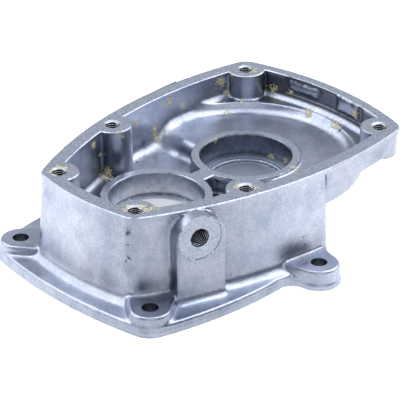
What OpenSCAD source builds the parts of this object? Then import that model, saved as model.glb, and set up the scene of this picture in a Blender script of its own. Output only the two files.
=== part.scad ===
// Lower half of a small gearbox housing, die-cast in one piece.
// Plan datum while modelling: the gear shaft's axis is x = 0, y = 0 and the base plane is z = 0.

/* [Overall] */
// Height from the base plane to the cover face
height = 46; // [42:1:56]
// Thickness of the chamber floors
floor_wall = 4.5; // [3:0.5:5]
// Draft of the outer walls, in degrees
draft = 3; // [1:0.5:4]
// Radius of the cast fillets at the foot of the walls
cast_fillet = 5.5; // [4:0.5:6]

/* [Bearing seats] */
// Distance between the gear shaft and the pinion shaft
centre_distance = 56; // [54:1:64]
// Diameter of the gear shaft's bearing seat
gear_seat_d = 42; // [38:1:44]
// Depth of the gear shaft's bearing seat
gear_seat_depth = 10.3; // [8:0.1:11]
// Diameter of the relief below the gear shaft's bearing
gear_relief_d = 35; // [28:1:36]
// Depth of that relief
gear_relief_depth = 2.6; // [1:0.1:3]
// Diameter of the pinion shaft's bearing seat
pinion_seat_d = 42; // [38:1:44]
// Depth of the pinion shaft's bearing seat
pinion_seat_depth = 11.5; // [10:0.5:12]
// Diameter of the open eye below the pinion shaft's bearing
pinion_eye_d = 35; // [26:1:36]
// Wall of the ring round each seat
ring_wall = 4; // [3:0.5:5]
// Depth of the rings' faces below the cover face
ring_drop = 15; // [14:0.5:16]
// Width of the web that ties the two rings
web_width = 9; // [6:1:12]

/* [Chambers] */
// Depth of the gear chamber's floor below the cover face
gear_floor_drop = 16.5; // [16:0.5:18]
// Depth of the pinion chamber's floor below the cover face
pinion_floor_drop = 24; // [22:0.5:25]
// Distance from the gear shaft to the step between the two floors
step_offset = 10; // [9:0.5:14]
// Radius of the turned dish in the gear chamber's floor
dish_r = 50; // [47:0.5:51]
// Depth of the corner ledges below the cover face
ledge_drop = 12.5; // [10:0.5:13]
// Radius of the bowl under the gear chamber
bowl_r = 54; // [53:0.5:56]
// Depth of the corner lugs' undersides below the cover face
lug_drop = 12.5; // [12:0.5:15]
// Depth of the round bosses under the screws in those lugs
corner_boss_drop = 13.5; // [13.5:0.5:16]
// Distance from the gear shaft to the end wall of the lower body
end_wall_offset = 6.5; // [5:0.5:8]

/* [Cover face] */
// Width of the machined land round the chambers
land_w = 7.2; // [6:0.2:7.4]
// Width of the land at the gear end
gear_land_w = 5.4; // [4.6:0.2:7]
// Depth of the machined land's own edge
land_h = 2.4; // [1.5:0.1:3]
// Spacing of the four cover screws round the gear shaft, both ways
screw_square = 86; // [84:1:90]
// Distance from the gear shaft to the two screws at the pinion end
end_screw_x = 91; // [88:1:98]
// Spacing of the two screws at the pinion end
end_screw_pitch = 49; // [44:1:54]
// Core diameter of the cover screws' threads
screw_core_d = 5; // [4:0.1:5.5]
// Diameter of the shallow dished mouths of the threads
screw_mouth_d = 9.6; // [8:0.2:10]
// Depth of the threaded holes
screw_depth = 16; // [12:1:18]
// Diameter of the screw bosses inside the chambers
boss_d = 18; // [16:0.5:19]
// Radius of the gear-end corners
gear_corner_r = 8.8; // [8.5:0.1:11]
// Radius of the pinion-end corners
end_corner_r = 8; // [7.8:0.2:9]
// Radius to which the long sides bow out
side_bow_r = 207; // [180:1:300]
// Radius to which the gear end bows out
gear_bow_r = 142; // [130:1:220]
// Radius to which the pinion end bows out
end_bow_r = 117; // [80:1:160]

/* [Base flange] */
// Thickness of the base flange
base_h = 5; // [4:0.5:6]
// Thickness of the walls round the underside hollow
skirt_wall = 6; // [5:0.5:7]
// Height of the ears' pads above the base plane
ear_h = 9; // [8:0.5:11]
// Radius of the ears' pads
ear_pad_r = 8.6; // [8.2:0.1:10]
// Radius of the ears at the base plane
ear_foot_r = 10.6; // [10.5:0.1:12]
// Diameter of the ears' clearance holes
ear_hole_d = 7.4; // [6.4:0.2:8]
// Distance from the gear shaft to the ears at the pinion end
end_ear_x = 99.7; // [98:0.1:104]
// Spacing of the ears at the pinion end
end_ear_pitch = 85; // [82:1:90]
// Distance from the gear shaft to the ears beside the gear chamber
side_ear_x = 20; // [18:0.5:24]
// Spacing of the ears beside the gear chamber
side_ear_pitch = 131.2; // [128:0.2:136]
// Width of the base flange between its two long edges
base_w = 119.8; // [118:0.2:122]
// Radius to which the base flange's long edges bow out
base_bow_r = 193; // [160:1:240]
// Radius to which the base flange's pinion end bows out
base_end_bow_r = 230; // [200:1:320]
// Height of the parting line on the base flange's edge
parting_h = 2.2; // [1.5:0.1:3]

/* [Side port] */
// Distance along the housing from the gear shaft to the port
port_x = 75.4; // [72:0.2:78]
// Depth of the port's axis below the cover face
port_drop = 10.7; // [10.7:0.1:13]
// Turn of the port's face away from the housing's length, in degrees
port_turn = 17; // [12:1:22]
// How far the port's column stands proud of the wall
port_proud = 6.4; // [4:0.2:7]
// Width of the port's column
port_w = 23.4; // [22:0.2:25]
// Diameter of the machined face round the port
port_face_d = 20.4; // [17:0.2:20.4]
// Core diameter of the port's thread
port_core_d = 8.5; // [6:0.5:10]

/* [Hidden] */
$fn = 96;

// Levels
ring_z = height - ring_drop;
gear_floor_z = height - gear_floor_drop;
pinion_floor_z = height - pinion_floor_drop;
ledge_z = height - ledge_drop;
lug_z = height - lug_drop;
bowl_z = gear_floor_z - floor_wall;
hollow_z = pinion_floor_z - floor_wall;
gear_cup_z = ring_z - gear_seat_depth - gear_relief_depth - floor_wall;
pinion_cup_z = ring_z - pinion_seat_depth - floor_wall;

// Half spacings
half_square = screw_square / 2;
half_end = end_screw_pitch / 2;
half_end_ears = end_ear_pitch / 2;
half_side_ears = side_ear_pitch / 2;

// Small cast and machined details
inner_draft = 1;
floor_fillet = 5;
dish_fillet = 6;
ledge_fillet = 4;
wall_clear = 0.1;
step_foot_r = 3.4;
step_top_r = 4;
ledge_end_r = 8;
ledge_end_gap = 1;
ring_chamfer = 0.5;
seat_groove = 0.4;
seat_groove_w = 1;
relief_step = 0.6;
gear_ring_foot_r = 0.6;
pinion_ring_foot_r = 4;
lug_round_r = 3.5;
lug_recess = 1;
lug_slope = 2;
lug_slope_w = 2.4;
corner_boss_proud = 0.3;
bowl_round_r = 5;
rim_lip = 0.4;
rim_round = 0.8;
ear_edge = 0.6;
ear_blend_r = 8;
ear_back_r = 2;
ear_back_w = 20;
end_ear_reach = 16;
end_ear_turn = 44;
end_ear_widen = 2.7;
side_foot_r = ear_foot_r - 0.6;
port_spot = 0.5;
port_top_gap = 0.4;
port_shift = 0.7;
port_foot_r = 4;
pad_proud = 0.8;
pad_boxes = [[4, 23, 6.8, 2], [-22, -7, 7.8, 0.5]];
hollow_fillet = 3;
hollow_end_wall = 4;
screw_dish = 0.5;
screw_chamfer = 0.7;
screw_point = 1.4;
screw_floor = 2.5;
flat_r = 4000;
fillet_steps = 5;

// Point at an angle on a circle
function polar(c, r, a) = [c[0] + r * cos(a), c[1] + r * sin(a)];
// Direction from one point to another
function heading(from, to) = atan2(to[1] - from[1], to[0] - from[0]);
// The same angle, turned on until it is not below the reference
function onward(a, ref) = a + 360 * ceil((ref - a) / 360);
// The crossing of circles of radius rp round p and rq round q, on the left of the way from p to q
function crossing(p, rp, q, rq) =
    let (dx = q[0] - p[0], dy = q[1] - p[1], d = sqrt(dx * dx + dy * dy))
    let (t = (rp * rp - rq * rq + d * d) / (2 * d), h = sqrt(rp * rp - t * t))
    [p[0] + (t * dx - h * dy) / d, p[1] + (t * dy + h * dx) / d];
// Centre of the bow of radius r that two corner circles [x, y, radius] touch from inside
function bow_centre(a, b, r) = crossing(a, r - a[2], b, r - b[2]);
// Corner circle of radius r that touches two bows from inside
function corner_between(p, rp, q, rq, r) = concat(crossing(p, rp - r, q, rq - r), [r]);
// Corner circle of radius r at a given x that touches a bow at +y from inside
function corner_at(x, centre, bow_r, r) =
    [x, centre[1] + sqrt(pow(bow_r - r, 2) - pow(x - centre[0], 2)), r];
function mirrored(k) = [k[0], -k[1], k[2]];

// Closed outline of corner circles joined by bowed sides, moved outwards by grow
function outline(corners, bows, grow = 0, corner_n = 6, side_n = 11) =
    let (n = len(corners))
    let (mid = [for (i = [0:n - 1]) bow_centre(corners[i], corners[(i + 1) % n], bows[i])])
    [for (i = [0:n - 1])
        let (before = mid[(i + n - 1) % n], after = mid[i], k = corners[i], next = corners[(i + 1) % n])
        let (a0 = heading(before, k), a1 = onward(heading(after, k), a0))
        let (a2 = onward(heading(after, next), a1))
        each concat([for (j = [0:corner_n]) polar(k, k[2] + grow, a0 + (a1 - a0) * j / corner_n)],
                    [for (j = [1:side_n]) polar(after, bows[i] + grow, a1 + (a2 - a1) * j / (side_n + 1))])];

// Cover face: corners anticlockwise from the gear end, and the centres of its bows
cover_corners = [[half_square, -half_square, gear_corner_r], [half_square, half_square, gear_corner_r],
                 [-end_screw_x, half_end, end_corner_r], [-end_screw_x, -half_end, end_corner_r]];
cover_bows = [gear_bow_r, side_bow_r, end_bow_r, side_bow_r];
gear_centre = bow_centre(cover_corners[0], cover_corners[1], gear_bow_r);
side_centre = bow_centre(cover_corners[1], cover_corners[2], side_bow_r);
end_centre = bow_centre(cover_corners[2], cover_corners[3], end_bow_r);
gear_end_x = gear_centre[0] + gear_bow_r;
// Centre of the gear end's inner wall, where the land is narrower
gear_wall = [gear_centre[0] + land_w - gear_land_w, gear_centre[1]];
// Distance of the long side from the middle at a given x, moved outwards by grow
function side_y(x, grow = 0) =
    side_centre[1] + sqrt(pow(side_bow_r + grow, 2) - pow(x - side_centre[0], 2));
// Outward move of the drafted outer walls at a level
function wall_grow(z) = (height - land_h - z) * tan(draft);

// Base flange: its corners are the ears at the pinion end and two circles past the end wall
end_ear = [-end_ear_x, half_end_ears, ear_foot_r];
base_side_y = base_w / 2 - base_bow_r;
base_side_x = -end_ear_x + sqrt(pow(base_bow_r - ear_foot_r, 2) - pow(half_end_ears - base_side_y, 2));
base_side = [base_side_x, base_side_y];
base_near = corner_at(ear_foot_r, base_side, base_bow_r, ear_foot_r);
base_corners = [mirrored(base_near), base_near, end_ear, mirrored(end_ear)];
base_bows = [flat_r, base_bow_r, base_end_bow_r, base_bow_r];
base_end_x = bow_centre(end_ear, mirrored(end_ear), base_end_bow_r)[0] - base_end_bow_r;

// Solid through closed outlines of equal length, each as [z, points], from the bottom up
module loft(sections) {
    n = len(sections[0][1]);
    m = len(sections);
    points = [for (s = sections) each [for (p = s[1]) [p[0], p[1], s[0]]]];
    sides = [for (i = [0:m - 2]) each [for (j = [0:n - 1])
        [i * n + j, (i + 1) * n + j, (i + 1) * n + (j + 1) % n, i * n + (j + 1) % n]]];
    lowest = [for (j = [0:n - 1]) j];
    highest = [for (j = [n - 1:-1:0]) (m - 1) * n + j];
    polyhedron(points, concat([lowest], sides, [highest]));
}

// Everything to the left of a plane at x = limit
module left_of(limit) {
    span = 400;
    translate([limit - span, -span / 2, -span / 4]) cube([span, span, span / 2]);
}

// What a quarter circle of radius r leaves of a square corner at the origin
module corner_piece(r) {
    difference() {
        translate([-1, -1]) square(r + 1);
        translate([r, r]) circle(r);
    }
}

// Concave fillet round the foot of a cylinder of radius r
module foot_fillet(r, f) {
    rotate_extrude() translate([r, 0]) corner_piece(f);
}

// Outer body of the pinion side, drafted and filleted into the base flange
module lower_body() {
    foot = base_h + cast_fillet;
    curve = [for (i = [0:fillet_steps])
        let (a = 90 * i / fillet_steps)
        [base_h + cast_fillet * (1 - cos(a)),
         outline(cover_corners, cover_bows, wall_grow(foot) + cast_fillet * (1 - sin(a)))]];
    loft(concat([[base_h / 2, curve[0][1]]], curve,
                [[height - land_h, outline(cover_corners, cover_bows)],
                 [height - land_h / 2, outline(cover_corners, cover_bows, -lug_recess)]]));
}

// Takes the foot fillet off beyond the ear, where the base flange ends
module foot_trim() {
    wall = side_y(-end_wall_offset, wall_grow(base_h));
    far = half_side_ears + side_foot_r;
    translate([0, 0, -1]) linear_extrude(base_h + cast_fillet + 1.2)
        polygon([[-end_wall_offset, wall], [side_foot_r - side_ear_x, half_side_ears],
                 [side_foot_r - side_ear_x, far], [0, far], [0, wall]]);
}

// Corner lugs beside the gear chamber, set back under the land, with a round boss under each screw
module corner_lugs() {
    inset = lug_recess + lug_round_r;
    curve = [for (i = [0:fillet_steps])
        let (a = 90 * i / fillet_steps)
        [lug_z + lug_round_r * (1 - cos(a)),
         outline(cover_corners, cover_bows, -lug_recess - lug_round_r * (1 - sin(a)))]];
    loft(concat([[lug_z - lug_slope, outline(cover_corners, cover_bows, -inset - lug_slope_w)]], curve,
                [[height - land_h / 2, outline(cover_corners, cover_bows, -lug_recess)]]));
    for (side = [-1, 1]) translate([half_square, side * half_square, height - corner_boss_drop])
        cylinder(h = corner_boss_drop - land_h / 2, r = gear_corner_r - lug_recess + corner_boss_proud);
}

// Machined land of the cover face
module cover_land() {
    translate([0, 0, height - land_h]) linear_extrude(land_h) polygon(outline(cover_corners, cover_bows));
}

// Round bowl that holds the gear, with a rounded bottom edge
module bowl() {
    top = lug_z + land_h;
    rotate_extrude() {
        translate([0, bowl_z]) square([bowl_r - bowl_round_r, top - bowl_z]);
        translate([0, bowl_z + bowl_round_r]) square([bowl_r, top - bowl_z - bowl_round_r]);
        translate([bowl_r - bowl_round_r, bowl_z + bowl_round_r]) circle(bowl_round_r);
    }
}

// Concave fillet between the bowl's underside and the end wall of the lower body
module bowl_fillet() {
    length = 2 * (bowl_r - bowl_round_r - 1);
    translate([-end_wall_offset, 0, bowl_z]) rotate([90, 0, 0])
        linear_extrude(length, center = true) scale([1, -1]) corner_piece(cast_fillet);
}

// Base flange with its bowed edges and the parting step on its rim
module base_flange() {
    loft([[0, outline(base_corners, base_bows)],
          [parting_h, outline(base_corners, base_bows)],
          [parting_h + rim_lip / 4, outline(base_corners, base_bows, -rim_lip)],
          [base_h - rim_round, outline(base_corners, base_bows, -rim_lip * 1.2)],
          [base_h, outline(base_corners, base_bows, -rim_lip - rim_round)]]);
}

// One ear: a drafted pad that widens or runs back to the body through the given circles
module ear(at, backs) {
    side_h = ear_h - ear_edge;
    spread = at[2] - rim_lip - ear_pad_r;
    hull() {
        for (c = concat([[at[0], at[1], ear_pad_r]], backs)) translate([c[0], c[1], 0]) {
            cylinder(h = side_h, r1 = c[2] + spread, r2 = c[2] + ear_edge, $fn = 48);
            cylinder(h = ear_h, r = c[2], $fn = 48);
        }
    }
}

// Blend between the base flange's long edge and an ear beside the gear chamber
module ear_blend() {
    edge = base_side_y + base_bow_r;
    across = side_ear_x + side_foot_r + base_side_x;
    centre_y = base_side_y + sqrt(pow(base_bow_r + ear_blend_r, 2) - pow(across, 2));
    centre_x = -side_ear_x - sqrt(pow(side_foot_r + ear_blend_r, 2) - pow(half_side_ears - centre_y, 2));
    steps = [[0, parting_h, 0], [parting_h / 2, base_h - rim_round - parting_h / 2, rim_lip]];
    for (s = steps) translate([0, 0, s[0]]) linear_extrude(s[1]) difference() {
        polygon([[-side_ear_x, half_side_ears], [-side_ear_x, edge - 2 * ear_blend_r],
                 [centre_x, edge - 2 * ear_blend_r], [centre_x, centre_y]]);
        translate([centre_x, centre_y]) circle(ear_blend_r + s[2]);
    }
}

module ears() {
    back_y = side_y(-side_ear_x) - ear_back_r;
    backs = [for (w = [-0.5, 0.5]) [w * ear_back_w - side_ear_x, back_y, ear_back_r]];
    end_back = concat(polar(end_ear, end_ear_reach, -end_ear_turn), [ear_pad_r + end_ear_widen]);
    for (side = [-1, 1]) scale([1, side, 1]) {
        ear(end_ear, [end_back]);
        ear([-side_ear_x, half_side_ears, side_foot_r], backs);
        translate([-side_ear_x, half_side_ears, 0]) cylinder(h = parting_h, r = side_foot_r);
        ear_blend();
    }
}
module ear_holes() {
    for (side = [-1, 1]) {
        translate([-end_ear_x, side * half_end_ears, -1]) cylinder(h = ear_h + 2, d = ear_hole_d);
        translate([-side_ear_x, side * half_side_ears, -1]) cylinder(h = ear_h + 2, d = ear_hole_d);
    }
}

// Column on the front wall that carries the side port
port_out = wall_grow(height - port_drop) + port_proud;
port_y = side_y(-port_x, port_out);
module at_port() {
    translate([-port_x, -port_y, height - port_drop])
        rotate([0, 0, -port_turn]) rotate([90, 0, 0]) children();
}
module port_column() {
    depth = port_out + land_w / 2;
    arch = port_drop - port_top_gap - port_w / 2;
    drop = height - port_drop - base_h / 2;
    at_port() translate([port_shift, 0, -depth]) {
        translate([0, arch]) cylinder(h = depth, d = port_w);
        translate([-port_w / 2, -drop]) cube([port_w, drop + arch, depth]);
    }
    at_port() translate([port_shift - port_w / 2, -height + port_drop + base_h, 0])
        rotate([90, 0, 90]) linear_extrude(port_w) corner_piece(port_foot_r);
}
module port_hole() {
    reach = port_out + land_w + floor_fillet;
    at_port() {
        translate([0, 0, -port_spot]) cylinder(h = port_foot_r, d = port_face_d);
        translate([0, 0, -reach]) cylinder(h = reach, d = port_core_d);
        translate([0, 0, -port_spot - 1]) cylinder(h = 1, d1 = port_core_d, d2 = port_core_d + 2);
    }
}

// Outer form before the chambers are cut
module shell() {
    cover_land();
    difference() {
        intersection() {
            lower_body();
            left_of(-end_wall_offset);
        }
        for (side = [-1, 1]) scale([1, side, 1]) foot_trim();
    }
    difference() {
        corner_lugs();
        left_of(-end_wall_offset - hollow_end_wall / 2);
    }
    bowl();
    bowl_fillet();
    intersection() {
        base_flange();
        left_of(-end_wall_offset);
    }
    ears();
    port_column();
    translate([0, 0, gear_cup_z]) cylinder(h = ring_z - gear_cup_z, r = gear_seat_d / 2 + ring_wall);
}

// Both chambers as one drafted space down to a level, filleted into the floor there
module chamber(level, fillet, clear = 0) {
    round_r = floor_fillet + 1.5 + land_w;
    gear_corner = corner_between(gear_wall, gear_bow_r, side_centre, side_bow_r, round_r);
    end_corner = corner_between(side_centre, side_bow_r, end_centre, end_bow_r, round_r);
    corners = [mirrored(gear_corner), gear_corner, end_corner, mirrored(end_corner)];
    foot = level + fillet;
    foot_grow = clear - land_w - (height - foot) * tan(inner_draft);
    curve = [for (i = [0:fillet_steps])
        let (a = 90 * i / fillet_steps)
        [level + fillet * (1 - cos(a)), outline(corners, cover_bows, foot_grow - fillet * (1 - sin(a)), 4)]];
    loft(concat(curve, [[height + 1, outline(corners, cover_bows, clear - land_w, 4)]]));
}

// Floor of the gear chamber: a block that ends in the step, with ledges and a turned dish cut in it
module gear_floor() {
    top = ledge_z + ledge_fillet;
    floor_h = gear_floor_z + wall_clear - hollow_z;
    length = gear_end_x + step_offset;
    ledge_x = step_top_r + ledge_end_gap;
    difference() {
        translate([-step_offset, 0, 0]) rotate([90, 0, 0])
            linear_extrude(2 * side_y(0), center = true) {
                difference() {
                    translate([0, hollow_z]) square([length, floor_h]);
                    translate([0, gear_floor_z]) scale([1, -1]) corner_piece(step_top_r);
                }
                difference() {
                    translate([ledge_x, hollow_z]) square([length - ledge_x, top - hollow_z]);
                    translate([ledge_x, top]) scale([1, -1]) corner_piece(ledge_end_r);
                }
                translate([0, pinion_floor_z]) scale([-1, 1]) corner_piece(step_foot_r);
            }
        chamber(ledge_z, ledge_fillet, wall_clear);
        intersection() {
            chamber(gear_floor_z, dish_fillet, 2 * wall_clear);
            rotate_extrude() {
                translate([0, gear_floor_z - 1]) square([dish_r - dish_fillet, height]);
                translate([0, gear_floor_z + dish_fillet]) square([dish_r, height]);
                translate([dish_r - dish_fillet, gear_floor_z + dish_fillet]) circle(dish_fillet);
            }
        }
    }
}

// Bearing rings, the web that ties them, screw bosses and wall pads, which stand in the chambers
module inner_forms() {
    gear_floor();
    translate([0, 0, hollow_z]) cylinder(h = ring_z - hollow_z, r = gear_seat_d / 2 + ring_wall);
    translate([0, 0, gear_floor_z]) foot_fillet(gear_seat_d / 2 + ring_wall, gear_ring_foot_r);
    translate([-centre_distance, 0, 0]) {
        translate([0, 0, hollow_z]) cylinder(h = ring_z - hollow_z, r = pinion_seat_d / 2 + ring_wall);
        translate([0, 0, pinion_floor_z]) foot_fillet(pinion_seat_d / 2 + ring_wall, pinion_ring_foot_r);
    }
    web_from = pinion_seat_d / 2 + ring_wall / 2 - centre_distance;
    web_to = -gear_seat_d / 2 - ring_wall / 2;
    translate([web_from, -web_width / 2, hollow_z]) cube([web_to - web_from, web_width, ring_z - hollow_z]);
    for (k = cover_corners) translate([k[0], k[1], hollow_z]) cylinder(h = height, d = boss_d);
    for (side = [-1, 1])
        translate([-half_square, side * half_square, hollow_z]) cylinder(h = height, d = boss_d);
    wall_r = gear_bow_r - land_w;
    for (p = pad_boxes) translate([gear_wall[0], gear_wall[1], height - p[2]])
        rotate([0, 0, asin((p[0] + p[1]) / 2 / wall_r)])
            translate([wall_r - pad_proud, (p[0] - p[1]) / 2, 0])
                cube([2 * pad_proud, p[1] - p[0], p[2] - p[3]]);
}

// Hollow under the pinion chamber, open at the base, with the bearing cups left standing in it
module underside() {
    inset = skirt_wall - wall_grow(0);
    round_r = hollow_fillet + 1.5 + inset;
    near_x = -end_wall_offset - hollow_end_wall - round_r + inset;
    near = corner_at(near_x, side_centre, side_bow_r, round_r);
    far = corner_between(side_centre, side_bow_r, end_centre, end_bow_r, round_r);
    corners = [mirrored(near), near, far, mirrored(far)];
    bows = [flat_r, side_bow_r, end_bow_r, side_bow_r];
    curve = [for (i = [fillet_steps:-1:0])
        let (a = 90 * i / fillet_steps)
        [hollow_z - hollow_fillet * (1 - cos(a)),
         outline(corners, bows, -inset - hollow_z * tan(inner_draft) - hollow_fillet * (1 - sin(a)), 4)]];
    difference() {
        loft(concat([[-1, outline(corners, bows, -inset, 4)]], curve));
        translate([-centre_distance, 0, pinion_cup_z])
            cylinder(h = height, r = pinion_seat_d / 2 + ring_wall);
        translate([0, 0, gear_cup_z]) cylinder(h = height, r = gear_seat_d / 2 + ring_wall);
    }
}

// Bearing seats
module gear_seat() {
    seat_z = ring_z - gear_seat_depth;
    translate([0, 0, seat_z]) cylinder(h = gear_seat_depth + 1, d = gear_seat_d);
    translate([0, 0, seat_z]) cylinder(h = seat_groove_w, d = gear_seat_d + 2 * seat_groove);
    translate([0, 0, seat_z - gear_relief_depth / 2]) cylinder(h = gear_seat_depth, d = gear_relief_d);
    translate([0, 0, seat_z - gear_relief_depth])
        cylinder(h = gear_seat_depth, d = gear_relief_d - 2 * relief_step);
    translate([0, 0, ring_z - ring_chamfer])
        cylinder(h = 2 * ring_chamfer, d1 = gear_seat_d, d2 = gear_seat_d + 4 * ring_chamfer);
}
module pinion_seat() {
    seat_z = ring_z - pinion_seat_depth;
    translate([-centre_distance, 0, 0]) {
        translate([0, 0, seat_z]) cylinder(h = pinion_seat_depth + 1, d = pinion_seat_d);
        translate([0, 0, seat_z]) cylinder(h = seat_groove_w, d = pinion_seat_d + 2 * seat_groove);
        cylinder(h = height / 2, d = pinion_eye_d);
        translate([0, 0, ring_z - ring_chamfer])
            cylinder(h = 2 * ring_chamfer, d1 = pinion_seat_d, d2 = pinion_seat_d + 4 * ring_chamfer);
    }
}

// Threaded holes for the cover screws, with a shallow dished mouth, less deep in the thin corner lugs
module screw_hole(at, depth) {
    core = screw_core_d / 2;
    neck = core + screw_chamfer;
    translate([at[0], at[1], height]) rotate_extrude()
        polygon([[0, screw_dish], [screw_mouth_d - neck, screw_dish], [neck, -screw_dish],
                 [core, -screw_dish - screw_chamfer], [core, -depth], [0, -depth - screw_point]]);
}
module screw_holes() {
    lug_depth = min(screw_depth, corner_boss_drop - screw_floor - screw_point);
    for (side = [-1, 1]) {
        screw_hole([half_square, side * half_square], lug_depth);
        screw_hole([-half_square, side * half_square], screw_depth);
        screw_hole([-end_screw_x, side * half_end], screw_depth);
    }
}

module housing() {
    color("lightsteelblue") translate([-(gear_end_x + base_end_x) / 2, 0, 0]) difference() {
        shell();
        difference() {
            chamber(pinion_floor_z, floor_fillet);
            inner_forms();
        }
        underside();
        gear_seat();
        pinion_seat();
        screw_holes();
        ear_holes();
        port_hole();
    }
}

housing();
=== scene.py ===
"""Looks of the gearbox housing: a die-cast aluminium half housing with machined faces, seen on a pale floor."""
import math

import bmesh
import bpy
import numpy as np
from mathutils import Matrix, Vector, bvhtree, kdtree, noise


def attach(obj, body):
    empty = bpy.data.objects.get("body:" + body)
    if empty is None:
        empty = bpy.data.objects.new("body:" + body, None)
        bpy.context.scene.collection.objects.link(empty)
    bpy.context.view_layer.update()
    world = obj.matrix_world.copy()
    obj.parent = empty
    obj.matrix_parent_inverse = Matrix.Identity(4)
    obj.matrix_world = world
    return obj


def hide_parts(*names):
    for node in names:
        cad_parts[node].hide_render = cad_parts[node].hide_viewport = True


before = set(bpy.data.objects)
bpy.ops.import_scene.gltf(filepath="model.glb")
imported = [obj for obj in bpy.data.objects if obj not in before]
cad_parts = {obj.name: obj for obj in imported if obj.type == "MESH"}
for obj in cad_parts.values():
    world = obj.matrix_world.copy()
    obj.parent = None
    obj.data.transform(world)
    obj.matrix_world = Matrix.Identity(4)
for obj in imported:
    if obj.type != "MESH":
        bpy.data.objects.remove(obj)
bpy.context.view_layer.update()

# Sizes in millimetres, as in the part's source. The gear shaft stands at x = GEAR_X, y = 0
GEAR_X = 27.762
PINION_X = GEAR_X - 56.0
HEIGHT = 46.0
RING_Z = 31.0
SEAT_R = 21.0
SEAT_BREAK = 0.5
RING_R = 25.0
GROOVE_R = 21.4
EYE_R = 17.5
CUP_R = 16.9
GEAR_SEAT_Z = RING_Z - 10.3
PINION_SEAT_Z = RING_Z - 11.5
CUP_Z = 18.1
EYE_Z = 15.0
SCREWS = np.array([[GEAR_X + 43, -43], [GEAR_X + 43, 43], [GEAR_X - 43, -43], [GEAR_X - 43, 43],
                   [GEAR_X - 91, -24.5], [GEAR_X - 91, 24.5]])
SCREW_DEPTH = np.array([9.6, 9.6, 16.0, 16.0, 16.0, 16.0])
DISH_R = 4.8
EARS = np.array([[GEAR_X - 20, -65.6], [GEAR_X - 20, 65.6], [GEAR_X - 99.7, -42.5], [GEAR_X - 99.7, 42.5]])
EAR_Z = 9.0
EAR_HOLE_R = 3.7
PORT = np.array([GEAR_X - 75.4, -48.002, 35.3])
PORT_OUT = np.array([-math.sin(math.radians(17)), -math.cos(math.radians(17)), 0.0])
PORT_MOUTH_R = 4.3
SPOT_R = 10.2
SPOT_DEPTH = 0.5
UP = np.array([0.0, 0.0, 1.0])

# Radii of the skin's bores, in which the threads stand
THREAD_ROOM = 3.2
PORT_ROOM = 5.25

# The tapped bores and the seats lie above these heights, and the port is no deeper than its reach
TAPPED_Z = 24.0
SEATS_Z = 12.0
PORT_REACH = 14.0

# How the skin is made, in millimetres, faces and rounds of smoothing
VOXEL = 0.45
SKIN_FACES = 95000
CAST_ROUNDS = 14
BLEND_FILL_ROUNDS = 80
BLEND_ROUNDS = 300
FOOT_ROUNDS = 70
LAST_ROUNDS = 4
PAD_ROUNDS = 8
RIM_CHAMFER = 0.4

# Places with sealant left on them, from the gear shaft: x, y, z, spread and a third of the number of flakes
RESIDUE = [(-58, 39, 42, 1.9, 15), (-53, 40, 35, 1.2, 5), (-51, 38, 25, 3.0, 30), (-45, 34, 45, 2.0, 6),
           (-25, 47, 39, 2.5, 13), (-12, 48, 26, 3.0, 20), (-13, 48, 31, 2.4, 12), (-2, 49, 42, 1.8, 20),
           (-6, 48, 41, 1.0, 4), (6, 49, 37, 2.0, 10), (30, 47, 42, 3.2, 30), (34, 44, 46, 1.2, 5),
           (33, 46, 36, 1.5, 8), (34, 38, 33, 2.0, 5), (50, 31, 37, 2.3, 18), (52, 22, 38, 1.2, 5),
           (26, 39, 30, 4.0, 14), (49, 7, 33, 3.0, 28), (49, -11, 33, 4.5, 42), (51, -20, 41, 2.5, 20),
           (1, 21, 30, 1.7, 8), (21, 4, 21, 2.0, 13), (20, -6, 23, 2.0, 8), (7, -24, 30, 1.7, 8),
           (-94, 27.5, 46, 1.5, 12), (-94.5, 24, 46, 1.4, 8), (-87, 25.5, 46, 1.6, 8), (-88, 28, 46, 1.6, 8),
           (-88, -27.5, 46, 1.7, 14), (-86.5, -24.5, 46, 1.5, 10), (-84.5, -29, 46, 2.5, 18),
           (-94.5, -22, 46, 1.4, 7), (-91, -20, 46, 1.6, 6), (-40, -46, 46, 1.5, 6), (-46, -40, 46, 1.5, 6),
           (-43, -38, 46, 1.5, 5), (46, 40, 46, 1.6, 8), (43, 38.5, 46, 1.5, 4)]

# Spots of dried oil, in the same form
OIL_SPOTS = [(-98.4, -28.1, 38.9, 1.1, 5), (-99, -28, 33, 2.0, 2), (-99, -28, 27, 2.5, 3), (46.7, -15.3, 32.5, 0.6, 2),
             (-24.8, -62.6, 9, 0.8, 2), (-29.7, 41.8, 22.2, 0.5, 2), (-60, -50, 12, 5, 2), (-20, -54, 14, 6, 4)]


# Camera

def place_camera():
    """A long lens that looks down at the housing from its pinion end and port side, fitted to the photograph."""
    yaw, pitch, distance = math.radians(44.04), math.radians(28.15), 0.9691
    focal_pixels, image_pixels, wall_shade = 2270.9, 400, 36
    look = np.array([math.sin(yaw) * math.cos(pitch), math.cos(yaw) * math.cos(pitch), -math.sin(pitch)])
    target = np.array([GEAR_X - 65.46, -37.48, HEIGHT]) / 1000
    lens = bpy.data.cameras.new("camera")
    lens.lens = focal_pixels / image_pixels * wall_shade
    lens.sensor_width = wall_shade
    lens.clip_start = 0.05
    lens.clip_end = 50
    camera = bpy.data.objects.new("camera", lens)
    bpy.context.scene.collection.objects.link(camera)
    camera.location = target - distance * look
    camera.rotation_euler = (math.pi / 2 - pitch, 0, -yaw)
    bpy.context.scene.camera = camera


# Mesh helpers

def placed(name, mesh):
    """Puts a mesh into the scene as an object at the origin."""
    thing = bpy.data.objects.new(name, mesh)
    bpy.context.scene.collection.objects.link(thing)
    return thing


def mesh_object(name, points, faces):
    """A smooth object at the origin, from an array of points in millimetres and a list of faces."""
    mesh = bpy.data.meshes.new(name)
    mesh.from_pydata((points / 1000).tolist(), [], faces)
    mesh.update()
    mesh.shade_smooth()
    return placed(name, mesh)


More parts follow.
